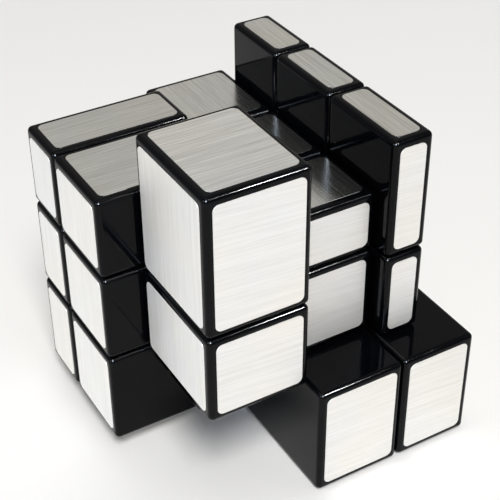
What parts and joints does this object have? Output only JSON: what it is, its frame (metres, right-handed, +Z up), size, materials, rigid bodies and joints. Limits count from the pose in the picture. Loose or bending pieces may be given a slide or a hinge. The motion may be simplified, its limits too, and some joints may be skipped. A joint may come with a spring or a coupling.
{
  "type": "mirror block cube",
  "caption": "Shape-shifting turning puzzle of glossy black blocks of unequal thickness with brushed silver faces, scrambled; each outer layer turns about the core.",
  "frame": {"origin": "middle of the footprint, on the surface the puzzle stands on", "axes": "+Z up; -X is the side of the thickest layer, at the lower left of the usual three-quarter view; -Y is the side nearest in that view; the turning axes are parallel to X, Y and Z through the core at (4, 4, 34.5) mm"},
  "size_m": [0.069, 0.069, 0.073],
  "materials": {
    "gloss_black_abs": "high gloss, moulded black",
    "moulded_black_abs": "as moulded, satin black",
    "core_nylon": "satin off-white",
    "zinc_plated_steel": "zinc plated",
    "spring_steel": "drawn wire",
    "brushed_foil": "brushed silver foil sticker"
  },
  "bodies": {
    "core": {"core": "core_nylon", "screw_left": "zinc_plated_steel", "screw_front": "zinc_plated_steel", "screw_bottom": "zinc_plated_steel", "screw_top": "zinc_plated_steel", "screw_back": "zinc_plated_steel", "screw_right": "zinc_plated_steel", "washer_left": "zinc_plated_steel", "washer_front": "zinc_plated_steel", "washer_bottom": "zinc_plated_steel", "washer_top": "zinc_plated_steel", "washer_back": "zinc_plated_steel", "washer_right": "zinc_plated_steel", "spring_left": "spring_steel", "spring_front": "spring_steel", "spring_bottom": "spring_steel", "spring_top": "spring_steel", "spring_back": "spring_steel", "spring_right": "spring_steel"},
    "centre_left": {"centre_base_left": "moulded_black_abs", "centre_cap_left": "gloss_black_abs"},
    "centre_front": {"centre_base_front": "moulded_black_abs", "centre_cap_front": "gloss_black_abs"},
    "centre_bottom": {"centre_base_bottom": "moulded_black_abs", "centre_cap_bottom": "gloss_black_abs"},
    "centre_top": {"centre_base_top": "moulded_black_abs", "centre_cap_top": "gloss_black_abs"},
    "centre_back": {"centre_base_back": "moulded_black_abs", "centre_cap_back": "gloss_black_abs"},
    "centre_right": {"centre_base_right": "moulded_black_abs", "centre_cap_right": "gloss_black_abs"},
    "edge_front_left": {"edge_front_left": "gloss_black_abs"},
    "edge_bottom_left": {"edge_bottom_left": "gloss_black_abs"},
    "edge_top_left": {"edge_top_left": "gloss_black_abs"},
    "edge_back_left": {"edge_back_left": "gloss_black_abs"},
    "edge_bottom_front": {"edge_bottom_front": "gloss_black_abs"},
    "edge_top_front": {"edge_top_front": "gloss_black_abs"},
    "edge_bottom_back": {"edge_bottom_back": "gloss_black_abs"},
    "edge_top_back": {"edge_top_back": "gloss_black_abs"},
    "edge_front_right": {"edge_front_right": "gloss_black_abs"},
    "edge_bottom_right": {"edge_bottom_right": "gloss_black_abs"},
    "edge_top_right": {"edge_top_right": "gloss_black_abs"},
    "edge_back_right": {"edge_back_right": "gloss_black_abs"},
    "corner_bottom_front_left": {"corner_shell_bottom_front_left": "gloss_black_abs", "corner_base_bottom_front_left": "moulded_black_abs"},
    "corner_top_front_left": {"corner_shell_top_front_left": "gloss_black_abs", "corner_base_top_front_left": "moulded_black_abs"},
    "corner_bottom_back_left": {"corner_shell_bottom_back_left": "gloss_black_abs", "corner_base_bottom_back_left": "moulded_black_abs"},
    "corner_top_back_left": {"corner_shell_top_back_left": "gloss_black_abs", "corner_base_top_back_left": "moulded_black_abs"},
    "corner_bottom_front_right": {"corner_shell_bottom_front_right": "gloss_black_abs", "corner_base_bottom_front_right": "moulded_black_abs"},
    "corner_top_front_right": {"corner_shell_top_front_right": "gloss_black_abs", "corner_base_top_front_right": "moulded_black_abs"},
    "corner_bottom_back_right": {"corner_shell_bottom_back_right": "gloss_black_abs", "corner_base_bottom_back_right": "moulded_black_abs"},
    "corner_top_back_right": {"corner_shell_top_back_right": "gloss_black_abs", "corner_base_top_back_right": "moulded_black_abs"}
  },
  "joints": [
    {"name": "left_turn", "type": "hinge", "parent": "core", "child": "centre_left", "pos_m": [0.004, 0.004, 0.0345], "axis": [1, 0, 0], "continuous": true},
    {"name": "front_turn", "type": "hinge", "parent": "core", "child": "centre_front", "pos_m": [0.004, 0.004, 0.0345], "axis": [0, 1, 0], "continuous": true},
    {"name": "bottom_turn", "type": "hinge", "parent": "core", "child": "centre_bottom", "pos_m": [0.004, 0.004, 0.0345], "axis": [0, 0, 1], "continuous": true},
    {"name": "top_turn", "type": "hinge", "parent": "core", "child": "centre_top", "pos_m": [0.004, 0.004, 0.0345], "axis": [0, 0, 1], "continuous": true},
    {"name": "back_turn", "type": "hinge", "parent": "core", "child": "centre_back", "pos_m": [0.004, 0.004, 0.0345], "axis": [0, 1, 0], "continuous": true},
    {"name": "right_turn", "type": "hinge", "parent": "core", "child": "centre_right", "pos_m": [0.004, 0.004, 0.0345], "axis": [1, 0, 0], "continuous": true},
    {"name": "edge_front_left_turn", "type": "hinge", "parent": "centre_front", "child": "edge_front_left", "pos_m": [0.004, 0.004, 0.0345], "axis": [1, 0, 0], "continuous": true},
    {"name": "edge_bottom_left_turn", "type": "hinge", "parent": "centre_left", "child": "edge_bottom_left", "pos_m": [0.004, 0.004, 0.0345], "axis": [0, 0, 1], "continuous": true},
    {"name": "edge_top_left_turn", "type": "hinge", "parent": "centre_left", "child": "edge_top_left", "pos_m": [0.004, 0.004, 0.0345], "axis": [0, 0, 1], "continuous": true},
    {"name": "edge_back_left_turn", "type": "hinge", "parent": "centre_back", "child": "edge_back_left", "pos_m": [0.004, 0.004, 0.0345], "axis": [1, 0, 0], "continuous": true},
    {"name": "edge_bottom_front_turn", "type": "hinge", "parent": "centre_bottom", "child": "edge_bottom_front", "pos_m": [0.004, 0.004, 0.0345], "axis": [0, 1, 0], "continuous": true},
    {"name": "edge_top_front_turn", "type": "hinge", "parent": "centre_top", "child": "edge_top_front", "pos_m": [0.004, 0.004, 0.0345], "axis": [0, 1, 0], "continuous": true},
    {"name": "edge_bottom_back_turn", "type": "hinge", "parent": "centre_bottom", "child": "edge_bottom_back", "pos_m": [0.004, 0.004, 0.0345], "axis": [0, 1, 0], "continuous": true},
    {"name": "edge_top_back_turn", "type": "hinge", "parent": "centre_top", "child": "edge_top_back", "pos_m": [0.004, 0.004, 0.0345], "axis": [0, 1, 0], "continuous": true},
    {"name": "edge_front_right_turn", "type": "hinge", "parent": "centre_front", "child": "edge_front_right", "pos_m": [0.004, 0.004, 0.0345], "axis": [1, 0, 0], "continuous": true},
    {"name": "edge_bottom_right_turn", "type": "hinge", "parent": "centre_right", "child": "edge_bottom_right", "pos_m": [0.004, 0.004, 0.0345], "axis": [0, 0, 1], "continuous": true},
    {"name": "edge_top_right_turn", "type": "hinge", "parent": "centre_right", "child": "edge_top_right", "pos_m": [0.004, 0.004, 0.0345], "axis": [0, 0, 1], "continuous": true},
    {"name": "edge_back_right_turn", "type": "hinge", "parent": "centre_back", "child": "edge_back_right", "pos_m": [0.004, 0.004, 0.0345], "axis": [1, 0, 0], "continuous": true},
    {"name": "corner_bottom_front_left_turn", "type": "hinge", "parent": "edge_bottom_front", "child": "corner_bottom_front_left", "pos_m": [0.004, 0.004, 0.0345], "axis": [1, 0, 0], "continuous": true},
    {"name": "corner_top_front_left_turn", "type": "hinge", "parent": "edge_top_front", "child": "corner_top_front_left", "pos_m": [0.004, 0.004, 0.0345], "axis": [1, 0, 0], "continuous": true},
    {"name": "corner_bottom_back_left_turn", "type": "hinge", "parent": "edge_bottom_back", "child": "corner_bottom_back_left", "pos_m": [0.004, 0.004, 0.0345], "axis": [1, 0, 0], "continuous": true},
    {"name": "corner_top_back_left_turn", "type": "hinge", "parent": "edge_top_back", "child": "corner_top_back_left", "pos_m": [0.004, 0.004, 0.0345], "axis": [1, 0, 0], "continuous": true},
    {"name": "corner_bottom_front_right_turn", "type": "hinge", "parent": "edge_bottom_front", "child": "corner_bottom_front_right", "pos_m": [0.004, 0.004, 0.0345], "axis": [1, 0, 0], "continuous": true},
    {"name": "corner_top_front_right_turn", "type": "hinge", "parent": "edge_top_front", "child": "corner_top_front_right", "pos_m": [0.004, 0.004, 0.0345], "axis": [1, 0, 0], "continuous": true},
    {"name": "corner_bottom_back_right_turn", "type": "hinge", "parent": "edge_bottom_back", "child": "corner_bottom_back_right", "pos_m": [0.004, 0.004, 0.0345], "axis": [1, 0, 0], "continuous": true},
    {"name": "corner_top_back_right_turn", "type": "hinge", "parent": "edge_top_back", "child": "corner_top_back_right", "pos_m": [0.004, 0.004, 0.0345], "axis": [1, 0, 0], "continuous": true}
  ],
  "couplings": [
    {"joint": "edge_front_left_turn", "follows": "left_turn", "ratio": 1},
    {"joint": "edge_bottom_left_turn", "follows": "bottom_turn", "ratio": 1},
    {"joint": "edge_top_left_turn", "follows": "top_turn", "ratio": 1},
    {"joint": "edge_back_left_turn", "follows": "left_turn", "ratio": 1},
    {"joint": "edge_bottom_front_turn", "follows": "front_turn", "ratio": 1},
    {"joint": "edge_top_front_turn", "follows": "front_turn", "ratio": 1},
    {"joint": "edge_bottom_back_turn", "follows": "back_turn", "ratio": 1},
    {"joint": "edge_top_back_turn", "follows": "back_turn", "ratio": 1},
    {"joint": "edge_front_right_turn", "follows": "right_turn", "ratio": 1},
    {"joint": "edge_bottom_right_turn", "follows": "bottom_turn", "ratio": 1},
    {"joint": "edge_top_right_turn", "follows": "top_turn", "ratio": 1},
    {"joint": "edge_back_right_turn", "follows": "right_turn", "ratio": 1},
    {"joint": "corner_bottom_front_left_turn", "follows": "left_turn", "ratio": 1},
    {"joint": "corner_top_front_left_turn", "follows": "left_turn", "ratio": 1},
    {"joint": "corner_bottom_back_left_turn", "follows": "left_turn", "ratio": 1},
    {"joint": "corner_top_back_left_turn", "follows": "left_turn", "ratio": 1},
    {"joint": "corner_bottom_front_right_turn", "follows": "right_turn", "ratio": 1},
    {"joint": "corner_top_front_right_turn", "follows": "right_turn", "ratio": 1},
    {"joint": "corner_bottom_back_right_turn", "follows": "right_turn", "ratio": 1},
    {"joint": "corner_top_back_right_turn", "follows": "right_turn", "ratio": 1}
  ]
}
